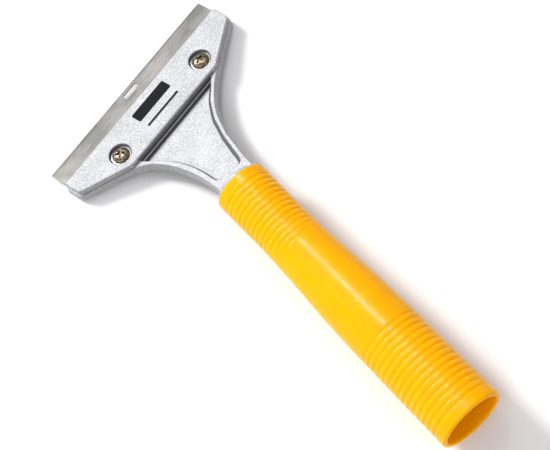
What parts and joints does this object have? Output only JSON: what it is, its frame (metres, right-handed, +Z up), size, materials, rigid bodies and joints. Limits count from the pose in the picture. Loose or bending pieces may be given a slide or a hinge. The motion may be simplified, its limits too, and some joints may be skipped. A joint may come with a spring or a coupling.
{
  "type": "floor scraper",
  "caption": "Hand floor scraper: straight blade held by a screwed clamp plate on a cast head with curved neck, and a ribbed hollow grip.",
  "frame": {"origin": "middle of the bounding box in plan, on the surface the tool lies on", "axes": "+Y along the grip from the blade towards its open rear end, +Z up out of the clamp plate side, +X to the user's left"},
  "size_m": [0.1024, 0.2222, 0.0289],
  "materials": {
    "cast_metal": "silver, fine grained",
    "plate_metal": "silver, fine grained",
    "blade_steel": "ground, satin",
    "bright_zinc": "bright plated",
    "dark_nickel": "dark plated",
    "print_black": "printed",
    "print_grey": "printed",
    "grip_plastic": "satin gloss yellow"
  },
  "bodies": {
    "handle_and_head": {"head_casting": "cast_metal", "grip": "grip_plastic"},
    "blade": {"blade": "blade_steel"},
    "clamp": {"clamp_plate": "plate_metal", "label_patch": "print_black", "label_line": "print_grey"},
    "left_washer": {"washer_left": "bright_zinc"},
    "left_screw": {"screw_left": "dark_nickel"},
    "right_washer": {"washer_right": "bright_zinc"},
    "right_screw": {"screw_right": "dark_nickel"}
  },
  "joints": [
    {"name": "blade_lift", "type": "slide", "parent": "handle_and_head", "child": "blade", "axis": [0.0345, -0.1705, 0.9847], "range_m": [0, 0.012]},
    {"name": "clamp_lift", "type": "slide", "parent": "blade", "child": "clamp", "axis": [0.0345, -0.1705, 0.9847], "range_m": [0, 0.015]},
    {"name": "left_screw_rise", "type": "slide", "parent": "clamp", "child": "left_washer", "axis": [0.0345, -0.1705, 0.9847], "range_m": [0, 0.008]},
    {"name": "left_screw_turn", "type": "hinge", "parent": "left_washer", "child": "left_screw", "pos_m": [0.0243, -0.07506, 0.00686], "axis": [0.0345, -0.1705, 0.9847], "range_deg": [0, 4120]},
    {"name": "right_screw_rise", "type": "slide", "parent": "clamp", "child": "right_washer", "axis": [0.0345, -0.1705, 0.9847], "range_m": [0, 0.008]},
    {"name": "right_screw_turn", "type": "hinge", "parent": "right_washer", "child": "right_screw", "pos_m": [-0.02834, -0.08569, 0.00686], "axis": [0.0345, -0.1705, 0.9847], "range_deg": [0, 4120]}
  ],
  "couplings": [
    {"joint": "left_screw_turn", "follows": "left_screw_rise", "rad_per_m": 8976},
    {"joint": "right_screw_turn", "follows": "right_screw_rise", "rad_per_m": 8976}
  ]
}
